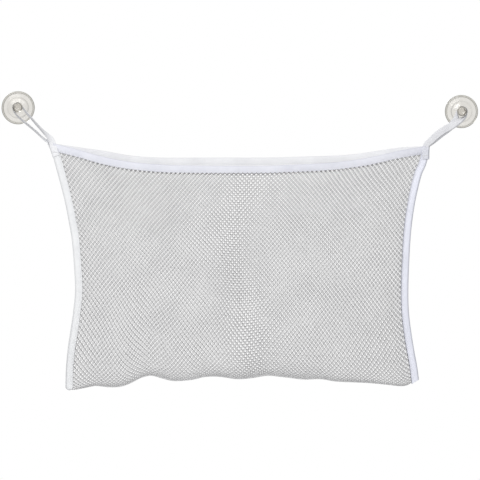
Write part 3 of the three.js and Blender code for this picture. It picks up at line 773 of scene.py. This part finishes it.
# ------------------------------------------------------------------ side bindings
TILT = {-1: curve([[-381, 0], [-250, 4], [-120, 4], [-50, 0]]),
        1: curve([[-373, 6], [-320, 12], [-240, 16], [-150, 14], [-90, 8], [-50, 0]])}
BINDING_W = 10.4
bindings = []
for side, name, out, end_z in ((-1, "left", left_out, LEFT_END_Z), (1, "right", right_out, RIGHT_END_Z)):
    z = np.linspace(-50.5, end_z - (1.5 if side < 0 else 0), 1200)
    t = np.clip((z + 60) / (end_z + 63), 0, 1)
    tilt = np.radians(TILT[side](z))
    x = out(z) - side * BINDING_W / 2 * np.cos(tilt)
    x = np.where(z > -66, lerp(x, corner_x(side, z) - side * 0.4, smooth((z + 66) / 14)), x)
    y = edge_y(t) + 0.0 * z
    route, mm = resample(np.stack([x, y, z], -1), 0.8)
    tilt_r = np.radians(TILT[side](route[:, 2]))
    hint = np.stack([side * np.cos(tilt_r), np.sin(tilt_r), 0 * tilt_r], -1)
    along, wide, thick = route_frame(route, hint)
    thick = thick * np.where(thick[:, 1:2] > 0, 1, -1)
    outer, inner_ = folded_section(mm, BINDING_W, 0.85, 0.6, 21 + side, BINDING_BODY, (1.5, 0.5))
    pinch = lerp(0.55, 1, smooth((mm - 8) / 18))
    left_over = mm[-1] - mm
    skew = wide.copy()
    if side < 0:
        # the end is tucked in and rounded off
        narrow = np.sqrt(np.clip(1 - (1 - np.clip(left_over / 5.2, 0.02, 1)) ** 2, 0, 1))
        outer[..., 0] *= narrow[:, None]
        inner_[..., 0] *= narrow[:, None]
        pinch = pinch * lerp(0.6, 1, smooth(left_over / 5.0))
    else:
        # the end is cut on a slant
        skew = wide - along * (0.47 * smooth(1 - left_over / 14.0))[:, None]
    for row in (outer, inner_):
        row[..., 1] *= pinch[:, None]
    points, quads, uv = sweep(route, skew, thick, outer, inner_)
    # painted shade along both long edges of the bindings, widest at the outer fold; the left one gets more towards its
    # lower end and over it, and the right one is a darker, more lilac copy, the darker tone being painted shade for a
    # binding tilted from the light
    if side < 0:
        cloth = tape_material("woven_left_binding", (0.74, 0.75, 0.77), (0.85, 0.86, 0.875),
                              edges=((0.0, 1.2), (11.7, 5.6)), edge_tone=0.70, shaded_end_at=float(mm[-1]))
    else:
        cloth = tape_material("woven_right_binding", (0.72, 0.735, 0.82), (0.82, 0.835, 0.93),
                              edges=((0.0, 1.2), (11.7, 5.2)), edge_tone=0.66)
    body = dress(make(f"{name}_binding", points, quads, None, uv, outward=True), cloth)
    sew = seam(f"{name}_binding_stitches", route, mm, skew, thick, 1.22, 17.0, mm[-1] - (6.0 if side < 0 else 3.0))
    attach(body, "bag")
    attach(sew, "bag")
    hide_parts(f"{name}_side_binding")
    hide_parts(f"{name}_binding_stitching")
    bindings += [body, sew]

# ------------------------------------------------------------------ hanging loops and their sewn ends
LOOP_HALF_W, LOOP_HALF_T = 4.4, 1.0
FAN = {-1: 0.0, 1: 0.2}
# how far out the rear and the front end lie, above and below, and the tape's width away from the neck
SPREAD = {-1: ((2.2, 0.7), (-0.2, -0.2)), 1: ((0.9, 0.6), (0.4, -0.6))}
LOOSE = {-1: 1.0, 1: 1.14}


def loop_route(table, side):
    """Middle line and width direction of a loop, from its rear sewn end round the neck to its
    front sewn end."""
    neck = np.array([side * 300.0, LOOP_Y, 0])
    end = np.array([CORNER[side][0], LOOP_Y, HINGE_Z + 0.8])
    bend = end + np.array([side * 0.7, 0, 2.6])
    a = unit(bend - neck)
    b = np.array([-a[2], 0, a[0]])
    if b[2] < 0:
        b = -b
    start = bend - 5 * a
    straight = np.linalg.norm(start - neck)
    table = np.array(table, float)
    keys = np.arange(len(table))
    at = np.linspace(0, len(table) - 1, (len(table) - 1) * 10 + 1)
    u, v, y, turn = (curve(list(zip(keys, table[:, i])))(at) for i in range(4))
    k = np.clip((u - 50) / 12.5, 0, 1)[:, None]
    line = neck + a * (u * straight / 50)[:, None]
    curved = start * (1 - k) ** 2 + bend * 2 * k * (1 - k) + end * k * k
    point = np.where(k > 0, curved, line) + b * v[:, None] * (1 - k)
    rear, front = SPREAD[side]
    point[:, 0] += side * np.where(at < (len(table) - 1) / 2, rear[0], front[0]) * k[:, 0] ** 2
    point[:, 1] += y
    across_ = unit(lerp(b, np.array([-side, 0, 0.0]), k))
    angle = np.radians(turn)[:, None]
    wide = np.array([0, 1, 0.0]) * np.cos(angle) + across_ * np.sin(angle)
    # the sewn ends, down behind and in front of the corner
    drop = np.linspace(1.0, 19.2, 23)
    off = lerp(0.85, 1.9, smooth(drop / 8))
    def down(sign):
        z_ = end[2] - drop
        out = lerp(*(rear if sign > 0 else front), smooth(drop / 9))
        x_ = corner_x(side, np.minimum(z_, CORNER_TOP)) + side * out
        return np.stack([x_, LOOP_Y + sign * off, z_], -1)

    flat = np.repeat(np.array([[-side, 0, 0.0]]), len(drop), 0)
    point = np.concatenate([down(1)[::-1], point, down(-1)])
    wide = np.concatenate([flat, wide, flat])
    d = np.concatenate([[0], np.cumsum(np.linalg.norm(np.diff(point, axis=0), axis=1))])
    keep = np.concatenate([[True], np.diff(d) > 1e-4])
    point, wide, d = point[keep], wide[keep], d[keep]
    mm = np.linspace(0, d[-1], int(d[-1] / 0.9))
    pick = lambda q: np.stack([np.interp(mm, d, q[:, i]) for i in range(3)], -1)
    point, wide = pick(point), unit(pick(wide))
    # woven tape is too stiff for a sharp kink at the corner, and its short edge must not fold over
    rest = np.minimum(mm, mm[-1] - mm)
    soft = np.exp(-0.5 * ((mm[:, None] - mm[None]) / 3.0) ** 2)
    soft /= soft.sum(1, keepdims=True)
    k = (smooth((rest - 12) / 4) * smooth((36 - rest) / 6))[:, None]
    return lerp(point, soft @ point, k), unit(lerp(wide, soft @ wide, k)), mm


loops = []
for side, name, table in ((-1, "left", LOOP_LEFT), (1, "right", LOOP_RIGHT)):
    route, hint, mm = loop_route(table, side)
    along, wide, thick = route_frame(route, hint)
    n = len(route)
    hw, ht = LOOP_HALF_W, LOOP_HALF_T
    rise = 0.05 * np.sin(mm / 5.1) + 0.04 * np.sin(mm / 2.3 + 1)
    edge = np.array([(-hw, 0), (-hw + 0.12, ht * 0.62), (-hw + 0.5, ht * 0.95), (-2.5, ht), (-1.9, ht * 0.86),
                     (-1.3, ht), (0, ht * 1.03), (1.3, ht), (1.9, ht * 0.86), (2.5, ht), (hw - 0.5, ht * 0.95),
                     (hw - 0.12, ht * 0.62), (hw, 0)])
    over = np.repeat(edge[None], n, 0)
    over[:, 3:10, 1] += rise[:, None]
    # the sewn ends are pressed flat
    rest = np.minimum(mm, mm[-1] - mm)
    over[..., 1] *= lerp(0.55, 1.0, smooth((rest - 14) / 12))[:, None]
    over[..., 1] *= lerp(0.25, 1.0, smooth(rest / 2.5))[:, None]
    # the tape is drawn in round the neck and at the seam
    far = np.abs(mm - mm[-1] / 2)
    over[..., 0] *= lerp(1.0, LOOSE[side], smooth((far - 20) / 16) * smooth((80 - far) / 16))[:, None]
    # and spread into the corner, towards the hem
    fan = FAN[side] * smooth((rest - 2) / 12) * smooth((34 - rest) / 14)
    over[..., 0] += fan[:, None] * smooth((edge[None, :, 0] + hw) / (2 * hw))
    under = over.copy()
    under[..., 1] *= -1
    under[:, 0, 1] -= 0.06
    under[:, -1, 1] -= 0.06
    over[:, 0, 1] += 0.06
    over[:, -1, 1] += 0.06
    points, quads, uv = sweep(route, wide, thick, over, under)
    # the loops are painted greyer than the hem tape, painted shade on the turned strands, the right loop a little
    # darker still, with painted shade along their edges; the left loop's ends are painted lighter, painted light on
    # ends that lie in the front strand's shadow
    reach = 3.0 if side < 0 else 1.2
    low, high = (((0.66, 0.665, 0.69), (0.77, 0.775, 0.80)) if side < 0 else
                 ((0.645, 0.65, 0.68), (0.75, 0.755, 0.785)))
    loop_cloth = tape_material(f"woven_{name}_loop", low, high,
                               edges=((0.0, reach), (20.0, reach)), edge_tone=0.64,
                               length=float(mm[-1]), end_tone=(1.1, 1.1, 1.1) if side < 0 else (0.97, 0.98, 1.02),
                               first=(42.0, 26.0) if side < 0 else (26.0, 17.0),
                               last=(46.0, 26.0) if side < 0 else (21.0, 17.0))
    loop = dress(make(f"{name}_loop", points, quads, None, uv, outward=True), loop_cloth)
    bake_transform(loop)
    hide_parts(f"{name}_hanging_loop", f"{name}_loop_sewn_end")
    # bar tacks: close zigzag threads through the front sewn end
    places, run, off = [], [], []
    for row_z in (-60.0,):
        for i in range(15):
            middle = corner_x(side, row_z) + side * SPREAD[side][1][1]
            places.append((middle - 3.9 + i * 7.8 / 14, LOOP_Y - 1.9 - 0.55 * LOOP_HALF_T + 0.02, row_z))
            run.append((0.16 * (1 if i % 2 else -1), 0, 1))
            off.append((0, -1, 0))
    tack = stitches(f"{name}_bartack", np.array(places), unit(np.array(run, float)), np.array(off, float),
                    length=2.5, radius=0.17, sink=0.16)
    dress(tack, thread)
    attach(tack, "bag")
    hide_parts(f"{name}_corner_bartack")
    loops += [loop, tack]

# ------------------------------------------------------------------ suction cups
CUP = [[0, -6.6], [2, -6.6], [6, -6.3], [9, -5.7], [12, -4.8], [14.5, -3.7], [16.8, -2.5], [18.2, -1.75],
       [18.9, -1.35], [19.4, -0.95], [19.8, -0.5], [20.2, -0.18], [20.7, -0.03], [21.2, 0.0], [21.6, -0.1],
       [22.0, -0.35], [22.3, -0.75], [22.47, -1.2], [22.5, -1.6], [22.42, -2.05], [22.15, -2.5], [21.75, -2.8],
       [21.25, -2.95], [20.75, -2.88], [20.35, -2.65], [20.0, -2.6], [19.5, -2.85], [18.6, -3.5], [17.4, -4.4],
       [16.0, -5.4], [15.2, -6.0], [14.6, -6.55], [14.1, -7.1], [13.6, -7.7], [13.0, -8.25], [12.3, -8.7],
       [11.5, -9.0], [10.8, -9.2], [9.6, -9.5], [8.2, -9.9], [6.6, -10.4], [5.4, -11.0], [4.6, -11.7],
       [4.15, -12.7], [4.0, -14.5], [4.0, -18.5], [4.05, -20.0], [4.4, -20.7], [5.3, -21.0], [6.2, -21.2],
       [6.65, -21.6], [6.85, -22.3], [6.9, -23.1], [6.75, -24.1], [6.35, -25.1], [5.7, -25.9],
       [4.8, -26.35], [3.9, -26.5], [3.1, -26.4], [2.3, -26.05], [1.2, -25.8], [0, -25.75]]
SEGMENTS = 128
for side, name in ((-1, "left"), (1, "right")):
    rz = np.array(CUP)
    turn = np.arange(SEGMENTS) * 2 * math.pi / SEGMENTS
    body = rz[1:-1]
    ring = np.stack([body[:, None, 0] * np.cos(turn)[None], np.repeat(body[:, 1:2], SEGMENTS, 1),
                     body[:, None, 0] * np.sin(turn)[None]], -1)
    points = np.concatenate([ring.reshape(-1, 3), [[0, rz[0, 1], 0], [0, rz[-1, 1], 0]]])
    m = len(body)
    i, k = np.meshgrid(np.arange(m - 1), np.arange(SEGMENTS), indexing="ij")
    k2 = (k + 1) % SEGMENTS
    quads = np.stack([i * SEGMENTS + k, i * SEGMENTS + k2, (i + 1) * SEGMENTS + k2, (i + 1) * SEGMENTS + k], -1).reshape(-1, 4)
    k = np.arange(SEGMENTS)
    k2 = (k + 1) % SEGMENTS
    tris = np.concatenate([np.stack([np.full(SEGMENTS, m * SEGMENTS), k2, k], -1),
                           np.stack([np.full(SEGMENTS, m * SEGMENTS + 1), (m - 1) * SEGMENTS + k, (m - 1) * SEGMENTS + k2], -1)])
    # painted shade on the outer rim of the cup, full from 21.4 mm out
    lip = smooth((np.hypot(points[:, 0], points[:, 2]) - 18.0) / 3.4)
    points[:, 0] += side * 300.0
    cup = dress(make(f"{name}_cup_moulding", points, quads, tris, None, outward=True), pvc)
    cup.data.attributes.new("lip", "FLOAT", "POINT").data.foreach_set("value", lip.astype(np.float32))
    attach(cup, f"{name}_cup")
    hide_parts(f"{name}_suction_cup")

# ------------------------------------------------------------------ floor, light
def stage_material():
    n = Nodes("pale_floor")
    place = n.add("ShaderNodeTexCoord").outputs["Object"]
    cloud = n.add("ShaderNodeTexNoise", {"Vector": place, "Scale": 3.0, "Detail": 2.0}).outputs["Fac"]
    n.set(Base_Color=n.ramp(cloud, [(0.3, (0.90, 0.90, 0.90)), (0.7, (0.93, 0.93, 0.93))]))
    n.set(Roughness=0.9, Specular_IOR_Level=0.1)
    return n.material


ang = np.arange(96) * 2 * math.pi / 96
rings = np.array([0.0, 500, 1000, 1700])
floor_points = [[0, 0, -640]]
for r in rings[1:]:
    floor_points += [[r * math.cos(a), r * math.sin(a), -640] for a in ang]
k = np.arange(96)
k2 = (k + 1) % 96
floor_tris = np.stack([np.zeros(96, int), 1 + k, 1 + k2], -1)
floor_quads = np.concatenate([np.stack([1 + q * 96 + k, 1 + (q + 1) * 96 + k, 1 + (q + 1) * 96 + k2, 1 + q * 96 + k2], -1)
                              for q in range(2)])
floor = make("floor", floor_points, floor_quads, floor_tris)
floor.data.materials.append(stage_material())


def area_light(name, place, target, size, power, colour=(1, 1, 1)):
    data = bpy.data.lights.new(name, "AREA")
    data.shape = "ELLIPSE"
    data.size, data.size_y = size
    data.energy = power
    data.color = colour
    lamp = bpy.data.objects.new(name, data)
    bpy.context.scene.collection.objects.link(lamp)
    place, target = np.array(place, float), np.array(target, float)
    z = unit(place - target)
    x = unit(np.cross([0, 0, 1.0], z))
    y = np.cross(z, x)
    lamp.matrix_world = Matrix([[x[0], y[0], z[0], place[0]], [x[1], y[1], z[1], place[1]],
                                [x[2], y[2], z[2], place[2]], [0, 0, 0, 1]])
    lamp.visible_camera = False
    return lamp


area_light("key", (-0.9, -2.3, 1.5), (0, -0.03, -0.2), (2.0, 2.0), 30.0, (1, 0.99, 0.97))
area_light("near_top", (0.0, -0.7, 0.36), (0, -0.02, 0.0), (0.6, 0.2), 0.6, (1, 1, 1))
area_light("rim", (-1.0, 1.0, 1.0), (0, -0.03, -0.15), (0.7, 0.7), 6.0, (0.97, 0.985, 1))


def studio_world():
    """White behind the object for the camera. For the light, bright in front, behind and above,
    greyer at the sides, so that edges and clear plastic keep their outline."""
    world = bpy.data.worlds.new("studio")
    bpy.context.scene.world = world
    world.use_nodes = True
    tree = world.node_tree
    tree.nodes.clear()

    def add(kind, inputs=(), **settings):
        node = tree.nodes.new(kind)
        for key, value in settings.items():
            setattr(node, key, value)
        for key, value in dict(inputs).items():
            if isinstance(value, bpy.types.NodeSocket):
                tree.links.new(value, node.inputs[key])
            else:
                node.inputs[key].default_value = value
        return node

    way = add("ShaderNodeSeparateXYZ", {0: add("ShaderNodeTexCoord").outputs["Generated"]})
    x, y, z = way.outputs
    depth = add("ShaderNodeMath", {0: y}, operation="ABSOLUTE").outputs[0]
    facing = add("ShaderNodeMapRange", {"Value": depth, "From Min": 0.2, "From Max": 0.9},
                 interpolation_type="SMOOTHSTEP").outputs[0]
    side = add("ShaderNodeMapRange", {"Value": x, "From Min": -1.0, "From Max": 1.0, "To Min": 0.52, "To Max": 0.3}).outputs[0]
    above = add("ShaderNodeMapRange", {"Value": z, "From Min": -0.4, "From Max": 1.0, "To Min": 0.0, "To Max": 0.55}).outputs[0]
    edge = add("ShaderNodeMath", {0: side, 1: above}, operation="ADD").outputs[0]
    level = add("ShaderNodeMix", {0: facing, 2: edge, 3: 1.0}, data_type="FLOAT").outputs[0]
    # through clear plastic: a grey ring round the depth axis between bright fields
    ahead = add("ShaderNodeMapRange", {"Value": depth, "From Min": 0.90, "From Max": 0.992, "To Min": 0.3, "To Max": 1.08},
                interpolation_type="SMOOTHSTEP").outputs[0]
    aside = add("ShaderNodeMapRange", {"Value": depth, "From Min": 0.82, "From Max": 0.71, "To Min": 0.3, "To Max": 0.9},
                interpolation_type="SMOOTHSTEP").outputs[0]
    ring = add("ShaderNodeMath", {0: ahead, 1: aside}, operation="MAXIMUM").outputs[0]
    path = add("ShaderNodeLightPath")
    level = add("ShaderNodeMix", {0: path.outputs["Is Transmission Ray"], 2: level, 3: ring}, data_type="FLOAT").outputs[0]
    lit = add("ShaderNodeBackground", {"Color": level, "Strength": 0.85})
    shown = add("ShaderNodeBackground", {"Color": (1, 1, 1, 1), "Strength": 1.0})
    both = add("ShaderNodeMixShader", {0: path.outputs["Is Camera Ray"], 1: lit.outputs[0], 2: shown.outputs[0]})
    add("ShaderNodeOutputWorld", {"Surface": both.outputs[0]})


studio_world()

scene = bpy.context.scene
scene.view_settings.view_transform = "Standard"
scene.view_settings.look = "None"
scene.view_settings.exposure = 0.0
scene.view_settings.gamma = 1.0
